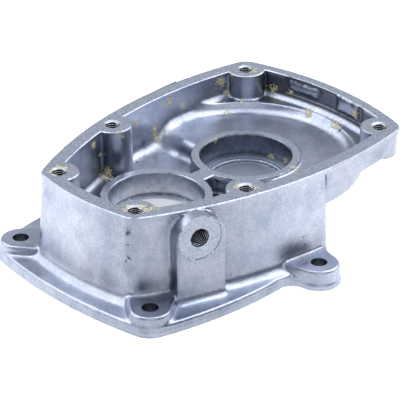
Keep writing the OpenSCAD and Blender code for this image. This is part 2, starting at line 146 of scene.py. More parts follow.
def tube_faces(rows, turns):
    """The four-sided faces between rows of points that go once round an axis, as a list."""
    i, j = np.meshgrid(np.arange(rows - 1), np.arange(turns), indexing="ij")
    a, b = i * turns + j, i * turns + (j + 1) % turns
    return np.stack([a, a + turns, b + turns, b], -1).reshape(-1, 4).tolist()


def full_turn(steps):
    """Angles of equal steps round one turn."""
    return np.arange(steps) / steps * 2 * math.pi


def search_surface(mesh):
    """A search tree over a mesh's faces, in millimetres."""
    return bvhtree.BVHTree.FromPolygons([v.co * 1000 for v in mesh.vertices], [p.vertices[:] for p in mesh.polygons])


def with_modifier(thing, kind, **settings):
    """Gives the mesh that a modifier makes of an object, and keeps the object."""
    modifier = thing.modifiers.new(kind.lower(), kind)
    for key, value in settings.items():
        setattr(modifier, key, value)
    bpy.context.view_layer.update()
    result = bpy.data.meshes.new_from_object(thing.evaluated_get(bpy.context.evaluated_depsgraph_get()))
    thing.modifiers.remove(modifier)
    return result


def vectors(source, name):
    """A vector property of all the vertices, faces or corners in a collection, as an array."""
    values = np.empty(len(source) * 3, np.float32)
    source.foreach_get(name, values)
    return values.reshape(-1, 3).astype(np.float64)


def coordinates(mesh):
    """Vertex positions of a mesh in millimetres, as an array."""
    return vectors(mesh.vertices, "co") * 1000


def set_coordinates(mesh, points):
    """Writes positions in millimetres back to a mesh."""
    mesh.vertices.foreach_set("co", (points / 1000).astype(np.float32).ravel())
    mesh.update()


def edge_pairs(mesh):
    """The two vertex numbers of each edge, as an array."""
    pairs = np.empty(len(mesh.edges) * 2, np.int32)
    mesh.edges.foreach_get("vertices", pairs)
    return pairs.reshape(-1, 2)


def vertex_normals(mesh):
    """Unit normals at the vertices of a mesh."""
    return vectors(mesh.vertex_normals, "vector")


def neighbour_pull(points, pairs, degree):
    """Vector from each point to the mean of its neighbours along the edges."""
    total = np.zeros_like(points)
    for axis in range(3):
        total[:, axis] += np.bincount(pairs[:, 0], points[pairs[:, 1], axis], len(points))
        total[:, axis] += np.bincount(pairs[:, 1], points[pairs[:, 0], axis], len(points))
    return total / degree[:, None] - points


# The casting's skin

def round_form(points, origin, axis):
    """Distance of each point from an axis, and its height along it."""
    offset = points - origin
    height = offset @ axis
    return np.linalg.norm(offset - height[:, None] * axis, axis=1), height


def from_axis(points, centre):
    """Horizontal distance of each point from a vertical axis."""
    return np.hypot(points[:, 0] - centre[0], points[:, 1] - centre[1])


def from_shafts(points):
    """Horizontal distance of each point from the nearer of the two shafts."""
    return np.minimum(from_axis(points, (GEAR_X, 0)), from_axis(points, (PINION_X, 0)))


def machined_mask(points):
    """True where a vertex belongs to a machined face, with its edges."""
    z = points[:, 2]
    mask = (z > HEIGHT - 0.5) | (z < 0.35)
    mask |= (from_shafts(points) < RING_R - 0.3) & (z > SEATS_Z)
    for at in SCREWS:
        mask |= (from_axis(points, at) < DISH_R + 0.4) & (z > TAPPED_Z)
    for at in EARS:
        mask |= (from_axis(points, at) < EAR_HOLE_R + 0.7) & (z < EAR_Z + 1)
    port_r, port_h = round_form(points, PORT, PORT_OUT)
    mask |= (port_r < SPOT_R + 0.2) & (port_h > -PORT_REACH) & (port_h < 1)
    return mask


def faces_out(points, normals):
    """True on the outside of the two long walls."""
    return normals[:, 1] * np.sign(points[:, 1]) > 0.25


def crisp_mask(points, normals):
    """True at cast corners that stay sharp: the upright line where the lower body's end wall begins."""
    return (abs(points[:, 0] - GEAR_X + 6.5) < 1.5) & (points[:, 2] > 25) & faces_out(points, normals)


def deep_blend(points, normals):
    """Weight of the corner where the wall's fillet runs down round the step between the two floors."""
    x, y, z = points[:, 0] - GEAR_X, abs(points[:, 1]), points[:, 2]
    weight = np.clip(3 - abs(x + 8) / 4.5, 0, 1) * np.clip(3 - abs(y - 44) / 3.5, 0, 1)
    return weight * np.clip((42 - z) / 3, 0, 1) * (z > 20) * ~faces_out(points, normals)


def foot_zone(points):
    """Weight of the corner between the walls and the base flange, which has the casting's widest radius."""
    z = points[:, 2]
    return np.clip((z - 4) / 2, 0, 1) * np.clip((16 - z) / 3, 0, 1)


def soften(points, pairs, free, rounds, normals=None):
    """Moves free points towards their neighbours' mean, and only outwards where normals are given.

    Outward moves fill the inner corners with the cast radius and leave the outer edges as they are.
    """
    degree = np.maximum(np.bincount(pairs.ravel(), minlength=len(points)), 1)
    for _ in range(rounds):
        pull = neighbour_pull(points, pairs, degree)
        if normals is not None:
            outward = np.maximum((pull * normals).sum(1), 0)
            pull = normals * outward[:, None]
        points = points + 0.5 * pull * free[:, None]
    return points


def soften_zone(points, pairs, weight, rounds, normals=None):
    """Softens only the points with a weight, in the same way."""
    near = pairs[(weight[pairs] > 0).any(1)]
    used, local = np.unique(near, return_inverse=True)
    points[used] = soften(points[used], local.reshape(-1, 2), weight[used], rounds,
                          None if normals is None else normals[used])
    return points


def pad_zone(points):
    """True on the upper inside of the gear end's wall, where the pads are."""
    x, y, z = points[:, 0] - GEAR_X, points[:, 1], points[:, 2]
    return (x > 45) & (x < 56.5) & (abs(y) < 25) & (z > 36) & (z < 45.6)


def sharp_points(solid, step=0.15):
    """A search tree of points (millimetres) along the sharp edges of the cover face and of its machined rim."""
    lines = bmesh.new()
    lines.from_mesh(solid)
    found = []
    for edge in lines.edges:
        ends = np.array([list(v.co) for v in edge.verts]) * 1000
        if len(edge.link_faces) != 2 or ends[:, 2].min() < 43.5 or edge.calc_face_angle(0) < 0.6:
            continue
        if np.min(np.hypot(*(SCREWS - ends[0, :2]).T)) < 5 or pad_zone(ends).any():
            continue
        count = max(2, int(np.linalg.norm(ends[1] - ends[0]) / step))
        found.append(ends[0] + (ends[1] - ends[0]) * np.linspace(0, 1, count)[:, None])
    lines.free()
    found = np.concatenate(found)
    tree = kdtree.KDTree(len(found))
    for i, point in enumerate(found):
        tree.insert(point, i)
    tree.balance()
    return tree


def snap_rim(points, solid):
    """Puts the vertices of the machined rim onto the solid, with a small chamfer along its upper edges."""
    rim_z = 43.7
    surface = search_surface(solid)
    edges = sharp_points(solid)
    for i in np.nonzero((points[:, 2] > rim_z - 0.4) & ~pad_zone(points))[0]:
        edge, _, distance = edges.find(points[i])
        upper = edge[2] > HEIGHT - 0.01
        if distance < 0.3:
            points[i] = edge
            if upper:
                points[i, 2] -= RIM_CHAMFER
        elif distance < 0.7 and upper and points[i, 2] > HEIGHT - 0.25:
            away = points[i, :2] - np.array(edge)[:2]
            inset = away * ((RIM_CHAMFER + 0.05) / max(0.01, np.linalg.norm(away)))
            points[i] = [*(np.array(edge)[:2] + inset), HEIGHT]
        elif points[i, 2] > rim_z:
            points[i] = surface.find_nearest(points[i])[0]
    return points


def snap_round(points, origin, axis, planes=(), walls=(), circles=(), steps=()):
    """Puts the points near turned forms round an axis onto them.

    Planes are (height, inner radius, outer radius), walls (radius, low, high) and circles (radius, height).
    Steps are (radius, inner height, outer height): the points on either side go to the step's own edge.
    """
    offset = points - origin
    height = offset @ axis
    across = offset - height[:, None] * axis
    r = np.linalg.norm(across, axis=1)
    unit = across / np.maximum(r, 1e-9)[:, None]
    for level, inner, outer in planes:
        height[(abs(height - level) < 0.3) & (r > inner) & (r < outer)] = level
    for radius, low, high in walls:
        r[(abs(r - radius) < 0.35) & (height > low) & (height < high)] = radius
    for radius, level in circles:
        hit = np.hypot(r - radius, height - level) < 0.3
        r[hit], height[hit] = radius, level
    for radius, inner, outer in steps:
        hit = (abs(r - radius) < 0.32) & (height > min(inner, outer) - 0.3) & (height < max(inner, outer) + 0.3)
        height[hit] = np.where(r[hit] < radius, inner, outer)
        r[hit] = radius
    return origin + unit * r[:, None] + height[:, None] * axis


def snap_machined(points):
    """Puts the vertices near turned and drilled forms onto their exact planes, bores and edges."""
    points[points[:, 2] < 0.3, 2] = 0
    seats = (((GEAR_X, 0, 0), GEAR_SEAT_Z, (EYE_R, CUP_R), CUP_Z),
             ((PINION_X, 0, 0), PINION_SEAT_Z, (EYE_R,), EYE_Z))
    for origin, seat_z, bores, low in seats:
        r = from_axis(points, origin)
        near = r < RING_R + 0.3
        groove = (abs(r - SEAT_R - 0.2) < 0.5) & (abs(points[:, 2] - seat_z - 0.5) < 1.0)
        points[groove, :2] = origin[:2] + (points[groove, :2] - origin[:2]) * (SEAT_R / r[groove])[:, None]
        planes = [(RING_Z, SEAT_R + SEAT_BREAK, RING_R + 0.3), (seat_z, EYE_R, GROOVE_R), (low, 0, CUP_R)]
        walls = [(SEAT_R, seat_z + 0.3, RING_Z - SEAT_BREAK), (bores[0], low, seat_z)]
        circles = [(RING_R, RING_Z), (SEAT_R + SEAT_BREAK, RING_Z), (SEAT_R, RING_Z - SEAT_BREAK), (SEAT_R, seat_z),
                   (bores[0], seat_z), (bores[-1], low)]
        points[near] = snap_round(points[near], np.array(origin), UP, planes, walls, circles)
    for at, depth in zip(SCREWS, SCREW_DEPTH):
        r = from_axis(points, at)
        below = HEIGHT - points[:, 2]
        near = (r < DISH_R + 0.5) & (below < depth + 2)
        bore = near & (below > 0.35) & (below < depth - 0.3) & (r > 1.8) & (r < THREAD_ROOM + 0.4)
        points[bore, :2] = at + (points[bore, :2] - at) * (THREAD_ROOM / r[bore])[:, None]
        points[near] = snap_round(points[near], np.array([at[0], at[1], HEIGHT]), UP, [(0, DISH_R, 6)], (),
                                  [(DISH_R, 0), (THREAD_ROOM, -0.5)])
    for at in EARS:
        near = (from_axis(points, at) < 5) & (points[:, 2] < EAR_Z + 1)
        points[near] = snap_round(points[near], np.array([at[0], at[1], 0]), UP, (),
                                  [(EAR_HOLE_R, 0.2, EAR_Z - 0.2)], [(EAR_HOLE_R, 0), (EAR_HOLE_R, EAR_Z)])
    return snap_port(points)


def snap_port(points):
    """Puts the vertices near the port onto its bore and its spot face, and draws the mouth in to the thread."""
    r, h = round_form(points, PORT, PORT_OUT)
    near = (r < 11) & (h > -PORT_REACH) & (h < 1)
    inside = near & (h < -0.9) & (h > 0.5 - PORT_REACH) & (r < 5.6)
    along = PORT + h[inside][:, None] * PORT_OUT
    points[inside] = along + (points[inside] - along) * (PORT_ROOM / np.maximum(r[inside], 1))[:, None]
    drawn_r, pull = 5.8, 2.5
    mouth = near & (r < drawn_r) & (h > -0.95)
    new_r = np.maximum(PORT_MOUTH_R, drawn_r - (drawn_r - r[mouth]) * pull)
    across = points[mouth] - PORT - h[mouth][:, None] * PORT_OUT
    points[mouth] = PORT - SPOT_DEPTH * PORT_OUT + across * (new_r / np.maximum(r[mouth], 1))[:, None]
    points[near] = snap_round(points[near], PORT, PORT_OUT, [(0, SPOT_R + 0.2, 11), (-SPOT_DEPTH, 4.5, 10)], (),
                              [(PORT_MOUTH_R, -SPOT_DEPTH)], [(SPOT_R, -SPOT_DEPTH, 0)])
    return points


def pad_patch(points):
    """How far inside a ragged pad on the gear end's wall each point is, in millimetres."""
    y, z = points[:, 1], points[:, 2]
    depth = np.full(len(points), -9.0)
    for low, high, bottom, top in ((4, 23, 39.2, 44.0), (-22, -7, 38.2, 45.5)):
        depth = np.maximum(depth, np.minimum(np.minimum(y - low, high - y), np.minimum(z - bottom, top - z)))
    near = np.nonzero((depth > -2) & (points[:, 0] > GEAR_X + 44))[0]
    for i in near:
        depth[i] += 1.6 * noise.fractal(Vector(points[i] * 0.3), 0.8, 2.2, 3) - 0.7
    return depth


def roughen_pads(points, normals):
    """Wears the two pads on the gear end's wall down to ragged, low patches. Also gives 1 at the moved points."""
    worn = 0.6
    inner = (points[:, 0] > GEAR_X + 45) & (points[:, 0] < GEAR_X + 56) & (normals[:, 0] < 0.2)
    zone = inner & (abs(points[:, 1]) < 25) & (points[:, 2] > 37) & (points[:, 2] < 45.4)
    points[zone, 0] += worn * (1 - np.clip(pad_patch(points[zone]) / 1.5 + 0.5, 0, 1))
    return points, zone.astype(float)


def cut_end_line(points, normals):
    """Sinks a narrow line into the side of the corner lug, where it leaves the lower body's end wall."""
    x, z = points[:, 0] - GEAR_X, points[:, 2]
    line = (abs(x + 5.8) < 0.6) & faces_out(points, normals) & (abs(points[:, 1]) > 46) & (z > 24) & (z < 43.2)
    sunk = 0.9
    points[line, 1] -= sunk * np.sign(points[line, 1])
    return points


def cast_skin():
    """The whole casting as one fine surface.

    The solid is remeshed in cubes of just under half a millimetre. Inner corners between cast walls are then filled
    to a radius of about 2 mm, outer cast edges are rounded slightly, and the machined faces are put back on their
    exact planes, bores and edges. At the end the mesh is thinned.
    """
    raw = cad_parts["housing"].data.copy()
    merged = bmesh.new()
    merged.from_mesh(raw)
    bmesh.ops.remove_doubles(merged, verts=merged.verts, dist=2e-6)
    merged.to_mesh(raw)
    merged.free()
    thing = placed("cast_body", raw)
    fine = with_modifier(thing, "REMESH", mode="VOXEL", voxel_size=VOXEL / 1000, adaptivity=0)
    points, pairs = coordinates(fine), edge_pairs(fine)
    normals = vertex_normals(fine)
    free = 1.0 - (machined_mask(points) | crisp_mask(points, normals))
    points = soften(points, pairs, free, CAST_ROUNDS, normals)
    points = soften_zone(points, pairs, free * deep_blend(points, normals), BLEND_FILL_ROUNDS, normals)
    points = soften_zone(points, pairs, free * deep_blend(points, normals), BLEND_ROUNDS)
    points = soften_zone(points, pairs, free * foot_zone(points), FOOT_ROUNDS, normals)
    points = soften(points, pairs, free, LAST_ROUNDS)
    points, pads = roughen_pads(points, normals)
    points = soften_zone(points, pairs, pads, PAD_ROUNDS)
    points = cut_end_line(points, normals)
    points = snap_rim(points, raw)
    points = snap_machined(points)
    set_coordinates(fine, points)
    thing.data = fine
    light = with_modifier(thing, "DECIMATE", ratio=min(1.0, SKIN_FACES / len(fine.polygons)))
    thing.data = light
    keep_machined_edges(light)
    true_normals(light)
    return thing


def keep_machined_edges(mesh):
    """Shades the mesh smooth, with sharp edges only where machined faces meet."""
    mesh.shade_smooth()
    mesh.set_sharp_from_angle(angle=math.radians(32))
    points, pairs = coordinates(mesh), edge_pairs(mesh)
    middles = points[pairs].mean(1)
    pads = (middles[:, 0] > GEAR_X + 45) & (middles[:, 0] < GEAR_X + 56) & (abs(middles[:, 1]) < 24)
    wanted = (machined_mask(middles) & ~(pads & (middles[:, 2] < 45.7))) | (middles[:, 2] > 43.4) & ~pads
    sharp = mesh.attributes["sharp_edge"]
    values = np.empty(len(mesh.edges), bool)
    sharp.data.foreach_get("value", values)
    sharp.data.foreach_set("value", values & wanted)
    mesh.update()


def true_normals(mesh):
    """Shades the milled planes flat and the turned walls round, whatever triangles they are cut into."""
    centres, normals = vectors(mesh.polygons, "center") * 1000, vectors(mesh.polygons, "normal")
    corner_face = np.repeat(np.arange(len(mesh.polygons)), [p.loop_total for p in mesh.polygons])
    corner_vertex = np.empty(len(mesh.loops), np.int32)
    mesh.loops.foreach_get("vertex_index", corner_vertex)
    values = vectors(mesh.corner_normals, "vector")
    places = coordinates(mesh)[corner_vertex]
    z, up = centres[:, 2], normals[:, 2]
    low_plane = (from_shafts(centres) < RING_R) & (z > SEATS_Z)
    flat = (up > 0.97) & ((z > HEIGHT - 0.03) | low_plane)
    values[flat[corner_face]] = UP
    port_r, port_h = round_form(centres, PORT, PORT_OUT)
    spot = (port_r < SPOT_R + 0.1) & (abs(port_h + SPOT_DEPTH) < 0.1) & (normals @ PORT_OUT > 0.95)
    values[spot[corner_face]] = PORT_OUT
    for x in (GEAR_X, PINION_X):
        radius = from_axis(centres, (x, 0))
        wall = (abs(radius - SEAT_R) < 0.25) & (z > 18) & (z < RING_Z - 0.4) & (abs(up) < 0.5)
        wall |= (abs(radius - EYE_R) < 0.25) & (z > SEATS_Z) & (z < 21) & (abs(up) < 0.5)
        chosen = wall[corner_face]
        inward = np.array([x, 0.0, 0.0]) - places[chosen]
        inward[:, 2] = 0
        values[chosen] = inward / np.linalg.norm(inward, axis=1)[:, None]
    mesh.normals_split_custom_set(values.tolist())


def seat_wall(seat_z):
    """The (radius, height) profile of a seat from its ring down to its shoulder, with the groove at its foot."""
    return [(SEAT_R + SEAT_BREAK, RING_Z - 0.02), (SEAT_R, RING_Z - 0.55), (SEAT_R, seat_z + 1), (GROOVE_R, seat_z + 1),
            (GROOVE_R, seat_z), (EYE_R, seat_z)]


def turned_seat(name, centre, profile, materials):
    """A bearing seat as one turned surface: the (radius, height) profile revolved round the shaft's axis.

    It stands a hair proud of the skin. Each corner of the profile is broken, and the flat rings, with all that lies
    inside them, have the second material.
    """
    proud, corner_break = 0.05, 0.25
    faced_below, faced_within = 9, 18
    profile = np.array(profile, float)
    path = [profile[0]]
    for before, corner, after in zip(profile, profile[1:], profile[2:]):
        for other in (before, after):
            step = other - corner
            path.append(corner + step * min(0.4, corner_break / np.linalg.norm(step)))
    path = np.array(path + [profile[-1]])
    turns = 192
    angle = full_turn(turns)
    r = np.maximum(path[:, 0] - proud, 0.01)
    points = np.stack([centre[0] + r[:, None] * np.cos(angle), centre[1] + r[:, None] * np.sin(angle),
                       np.repeat(path[:, 1:] + proud, turns, 1)], -1).reshape(-1, 3)
    piece = mesh_object(name, points, tube_faces(len(path), turns))
    r, z = path[:-1].T
    flat = (abs(np.diff(path[:, 1])) < 0.01) | (z < z.max() - faced_below) & (r < faced_within)
    for material in materials:
        piece.data.materials.append(material)
    piece.data.polygons.foreach_set("material_index", np.repeat(flat.astype(np.int32), turns))
    piece.data.set_sharp_from_angle(angle=math.radians(30))
    return piece


def thread(name, origin, axis, core, depth, pitch, top, bottom, mouth):
    """An internal thread as a helical surface with its own bottom.

    The radius is the core's, plus a flattened triangle wave of the helix's phase, and it widens to the mouth's
    radius at the top as a 45 degree chamfer. The crests are marked 1 in the property crest, and the roots 0.
    """
    turns, rows_in_pitch = 64, 12
    rows = int((top - bottom) / pitch * rows_in_pitch)
    side = np.cross(axis, [1.0, 0, 0])
    side = side / np.linalg.norm(side)
    other = np.cross(axis, side)
    angle = full_turn(turns)
    height = np.linspace(top, bottom, rows)
    phase = (height[:, None] / pitch - angle[None, :] / (2 * math.pi)) % 1.0
    wave = np.clip(abs(2 * phase - 1) * 1.3 - 0.15, 0, 1)
    r = np.maximum(core + depth * wave, mouth + height[:, None] - top)
    points = origin + r[..., None] * (np.cos(angle)[None, :, None] * side + np.sin(angle)[None, :, None] * other)
    points = points + height[:, None, None] * axis
    tip = origin + (bottom - 0.5 * core) * axis
    points = np.concatenate([points.reshape(-1, 3), tip[None]])
    last = (rows - 1) * turns
    cone = [[last + k, len(points) - 1, last + (k + 1) % turns] for k in range(turns)]
    piece = mesh_object(name, points, tube_faces(rows, turns) + cone)
    crest = piece.data.attributes.new("crest", "FLOAT", "POINT")
    crest.data.foreach_set("value", np.append((1 - wave).ravel(), 0).astype(np.float32))
    return piece


def flakes(name, skin, places, seed):
    """Flakes of dried matter: ragged caps, thickest in the middle, strewn over the skin round each place.

    On the cover face they are pressed flat, so that they stay in the casting's height.
    """
    chance = np.random.default_rng(seed)
    surface = search_surface(skin.data)
    sides = 9
    angle = full_turn(sides)
    points, faces = [], []
    for x, y, z, spread, count in places:
        for _ in range(3 * count):
            aim = np.array([GEAR_X + x, y, z]) + chance.normal(0, spread / 2.2, 3)
            place, normal = (np.array(v) for v in surface.find_nearest(aim)[:2])
            side = np.cross(normal, chance.normal(0, 1, 3))
            side = side / np.linalg.norm(side) * chance.uniform(0.8, 1.3)
            other = np.cross(normal, side / np.linalg.norm(side))
            radius = chance.uniform(0.14, 0.5) * chance.uniform(0.6, 1.3, sides)
            ring = radius[:, None] * (np.cos(angle)[:, None] * side + np.sin(angle)[:, None] * other)
            first = len(points)
            thick = chance.uniform(0.08, 0.22)
            points += list(place + 0.6 * ring + 0.8 * thick * normal) + list(place + ring - 0.05 * normal)
            points.append(place + thick * normal)
            for k in range(sides):
                n = (k + 1) % sides
                faces.append([first + k, first + sides + k, first + sides + n, first + n])
                faces.append([first + 2 * sides, first + k, first + n])
    points = np.array(points)
    points[:, 2] = np.minimum(points[:, 2], HEIGHT + 0.03)
    return mesh_object(name, points, faces)


# Materials

def linear(hex_colour):
    """An sRGB hex colour as linear RGBA."""
    channels = [int(hex_colour[i:i + 2], 16) / 255 for i in (1, 3, 5)]
    return [c / 12.92 if c <= 0.04045 else ((c + 0.055) / 1.055) ** 2.4 for c in channels] + [1.0]


def new_material(name):
    """An empty material, its node tree and its Principled shader."""
    material = bpy.data.materials.new(name)
    material.use_nodes = True
    tree = material.node_tree
    return material, tree, tree.nodes["Principled BSDF"]


def add(tree, kind, links=(), **settings):
    """Adds a node. settings are its properties, or sockets by name.

    links are (its socket, source), where the source is another node's socket or a fixed value.
    """
    node = tree.nodes.new("ShaderNode" + kind)
    for key, value in settings.items():
        if hasattr(node, key):
            setattr(node, key, value)
        else:
            node.inputs[key.replace("_", " ")].default_value = value
    for socket, source in links:
        if isinstance(source, bpy.types.NodeSocket):
            tree.links.new(source, node.inputs[socket])
        else:
            node.inputs[socket].default_value = source
    return node


def painted_shade_and_grime(tree, shader, colour, near, deep):
    """Darkens a colour from ambient occlusion: painted shade, with some grime, in the inner corners and on the walls
    deep inside the chambers.

    near and deep are (reach in metres, openness at which it is dark, openness at which there is no painted shade,
    darkest share).
    The second leaves slopes of about 37 degrees as they are, so that the fillets stay bright.
    """
    up = add(tree, "SeparateXYZ", [("Vector", add(tree, "NewGeometry").outputs["Normal"])]).outputs["Z"]
    slope = add(tree, "Math", [(0, up), (1, 0.8)], operation="SUBTRACT")
    level = add(tree, "Math", [(0, slope.outputs[0])], operation="ABSOLUTE").outputs[0]
    steep = add(tree, "MapRange", [("Value", level)], From_Min=0.0, From_Max=0.6)
    for (reach, dark, unshaded, least), share in ((near, None), (deep, steep.outputs[0])):
        # Ambient occlusion darkens the colour here: painted shade in corners and deep places
        corner = add(tree, "AmbientOcclusion", samples=8, only_local=True, Distance=reach)
        amount = add(tree, "MapRange", [("Value", corner.outputs["AO"])], From_Min=dark, From_Max=unshaded,
                     To_Min=1.0 - least, To_Max=0.0).outputs[0]
        if share:
            amount = add(tree, "Math", [(0, amount), (1, share)], operation="MULTIPLY").outputs[0]
        unshaded_share = add(tree, "MapRange", [("Value", amount)], To_Min=1.0, To_Max=0.0).outputs[0]
        colour = add(tree, "VectorMath", [(0, colour), ("Scale", unshaded_share)], operation="SCALE").outputs[0]
    tree.links.new(colour, shader.inputs["Base Color"])


def oil_and_shade_places(points, normals):
    """How dark each point is, 0 to 1: oil stains, and painted shade in corners and deep places.

    Marks are (x, y, z, radius, amount) and fade as a bell curve: oil spots, and partly oil, partly painted shade at the
    foot of the walls, on the front wall and in the corner left of the port column. The gear end's inner wall has
    painted shade that leaves the pads lighter, and the pinion chamber's floor has an even painted shade.
    """
    x, y, z = points[:, 0] - GEAR_X, points[:, 1], points[:, 2]
    oil_and_shade = np.zeros(len(points))
    # Oil spots first, then darkening at the foot of the walls and on the front wall: partly oil, partly painted shade
    marks = [(-98.4, -28.1, 38.9, 1.4, 0.75), (-99, -28, 30, 2.5, 0.25), (-99, -28, 22, 2.5, 0.3),
             (46.7, -15.3, 32.5, 1.1, 0.8), (-24.8, -62.6, 9, 1.5, 0.6), (-29.7, 41.8, 22.2, 1, 0.6),
             (-96, -38, 12, 5, 0.55), (-91, -42, 12, 5, 0.6), (-20, -53, 12, 6, 0.5), (-12, -53, 13, 5, 0.45),
             (-28, -53, 12, 5, 0.35), (-106, 15, 13, 6, 0.35), (-107, 5, 13, 6, 0.35),
             (-106, -7, 13, 6, 0.4), (-104, -18, 13, 6, 0.42), (10, -50, 38, 16, 0.2), (32, -47, 38, 16, 0.28)]
    # Painted shade: a dark band in the inner corner left of the port column
    marks += [(-88.3, -43.3, height, 3.0, 0.9) for height in (12, 16, 20, 24, 28, 32, 36, 40, 43)]
    for at_x, at_y, at_z, radius, amount in marks:
        away = np.sqrt((x - at_x) ** 2 + (y - at_y) ** 2 + (z - at_z) ** 2)
        oil_and_shade = np.maximum(oil_and_shade, amount * np.exp(-(away / radius) ** 2))
    # Painted shade on the gear end's inner wall, lighter on the worn pads, and an even painted shade on the pinion
    # chamber's floor
    wall_shade_amount, pad_spared, floor_shade_amount = 0.72, 0.62, 0.3
    inner = (x > 42) & (x < 57) & (abs(y) < 42) & (normals[:, 0] < -0.3) & (abs(normals[:, 2]) < 0.6)
    wall_shade = wall_shade_amount * np.clip((z - 34) / 2, 0, 1) * np.clip((x - 43) / 3, 0, 1) * inner
    wall_shade *= 1 - pad_spared * np.clip(pad_patch(points) / 0.6 + 0.5, 0, 1)
    floor_shade = floor_shade_amount * (normals[:, 2] > 0.85) * (x < -14) * (z > SEATS_Z) * (z < 24)
    return np.maximum(np.maximum(oil_and_shade, wall_shade), floor_shade)


def mottled(tree, place, scale, low, high, dark, light):
    """A colour that wanders between two, from the noise value low to high, at the scale in waves per metre."""
    clouds = add(tree, "TexNoise", [("Vector", place)], Scale=scale, Detail=6.0, Roughness=0.72)
    tint = add(tree, "ValToRGB", [("Fac", clouds.outputs["Fac"])])
    for element, position, colour in zip(tint.color_ramp.elements, (low, high), (dark, light)):
        element.position = position
        element.color = linear(colour)
    return tint.outputs["Color"]


def die_cast_aluminium():
    """Die-cast aluminium as it leaves the mould: a soft grey skin with fine grain, faint clouds and oily marks,
    darkened by painted shade in its corners and deep inside the chambers.

    The clouds are about 14 mm across. The grain is 0.8 mm, coarser than the real one, so that it shows.
    """
    material, tree, shader = new_material("die_cast_aluminium")
    place = add(tree, "TexCoord").outputs["Object"]
    tint = mottled(tree, place, 70.0, 0.3, 0.7, "#a4b0c4", "#d3d6e2")
    grain = add(tree, "TexNoise", [("Vector", place)], Scale=1300.0, Detail=3.0)
    speckle = add(tree, "MapRange", [("Value", grain.outputs["Fac"])], From_Min=0.35, From_Max=0.65,
                  To_Min=0.86, To_Max=1.08)
    # The point property darkens the colour: oil stains, and painted shade in corners, on the gear end's inner wall and
    # on the pinion chamber's floor
    darkening = add(tree, "Attribute", attribute_name="oil_and_shade")
    undarkened = add(tree, "Math", [(0, 1.0), (1, darkening.outputs["Fac"])], operation="SUBTRACT")
    level = add(tree, "Math", [(0, speckle.outputs[0]), (1, undarkened.outputs[0])], operation="MULTIPLY")
    tint = add(tree, "VectorMath", [(0, tint), ("Scale", level.outputs[0])], operation="SCALE").outputs[0]
    # Painted shade from ambient occlusion, with some grime, in the corners and deep in the chambers
    painted_shade_and_grime(tree, shader, tint, (0.004, 0.35, 0.8, 0.3), (0.02, 0.3, 0.9, 0.35))
    shader.inputs["Metallic"].default_value = 1.0
    shader.inputs["Roughness"].default_value = 0.28
    bump = add(tree, "Bump", [("Height", grain.outputs["Fac"])], Strength=0.35, Distance=0.0002)
    tree.links.new(bump.outputs["Normal"], shader.inputs["Normal"])
    return material


def milled_aluminium():
    """Aluminium after face milling: brighter and smoother than the cast skin, dulled by handling.

    The cutter's marks are too fine to show, so the grey changes over about 1 mm in their place.
    """
    material, tree, shader = new_material("milled_aluminium")
    place = add(tree, "TexCoord").outputs["Object"]
    tint = mottled(tree, place, 900.0, 0.32, 0.62, "#a9b1c0", "#d9dfea")
    tree.links.new(tint, shader.inputs["Base Color"])
    shader.inputs["Metallic"].default_value = 1.0
    shader.inputs["Roughness"].default_value = 0.22
    return material


def turned_aluminium(name, dark, light, least):
    """Turned bearing seats, worn to a slightly oily grey, darkest in the groove and the inner corners by painted shade.

    The worn places are about 3 mm across.
    """
    material, tree, shader = new_material(name)
    place = add(tree, "TexCoord").outputs["Object"]
    tint = mottled(tree, place, 300.0, 0.35, 0.65, dark, light)
    # Painted shade from ambient occlusion in the groove and the inner corners
    painted_shade_and_grime(tree, shader, tint, (0.004, 0.3, 0.8, 0.35), (0.02, 0.2, 0.7, least))
    shader.inputs["Metallic"].default_value = 1.0
    shader.inputs["Roughness"].default_value = 0.3
    return material


def faced_aluminium(name, colour):
    """Shoulders faced on the lathe: bright, and their fine concentric tool marks spread the light widely."""
    material, tree, shader = new_material(name)
    shader.inputs["Base Color"].default_value = linear(colour)
    shader.inputs["Metallic"].default_value = 1.0
    shader.inputs["Roughness"].default_value = 0.5
    return material


def tapped_aluminium_painted_light():
    """Tapped threads in painted light: their roots painted near black, as shade with some oil, and their crests near
    white, as highlights.
    """
    material, tree, shader = new_material("tapped_aluminium_painted_light")
    crest = add(tree, "Attribute", attribute_name="crest")
    # Painted light: near black roots as shade, near white crests as highlights
    tint = add(tree, "ValToRGB", [("Fac", crest.outputs["Fac"])])
    for element, position, colour in zip(tint.color_ramp.elements, (0.7, 1.0), ("#202227", "#e6e9ee")):
        element.position = position
        element.color = linear(colour)
    tree.links.new(tint.outputs["Color"], shader.inputs["Base Color"])
    shader.inputs["Metallic"].default_value = 1.0
    shader.inputs["Roughness"].default_value = 0.22
    return material


def dried_sealant():
    """Cream-yellow gasket sealant, dried and crumbled: dull, with a colour that changes over about 2 mm."""
    material, tree, shader = new_material("dried_sealant")
    place = add(tree, "TexCoord").outputs["Object"]
    tint = mottled(tree, place, 500.0, 0.35, 0.65, "#c3b673", "#f2ebc4")
    tree.links.new(tint, shader.inputs["Base Color"])
    shader.inputs["Roughness"].default_value = 0.6
    return material


def dried_oil():
    """Old gear oil, dried to a dark, slightly glossy film."""
    material, tree, shader = new_material("dried_oil")
    shader.inputs["Base Color"].default_value = linear("#3c404b")
    shader.inputs["Roughness"].default_value = 0.35
    return material


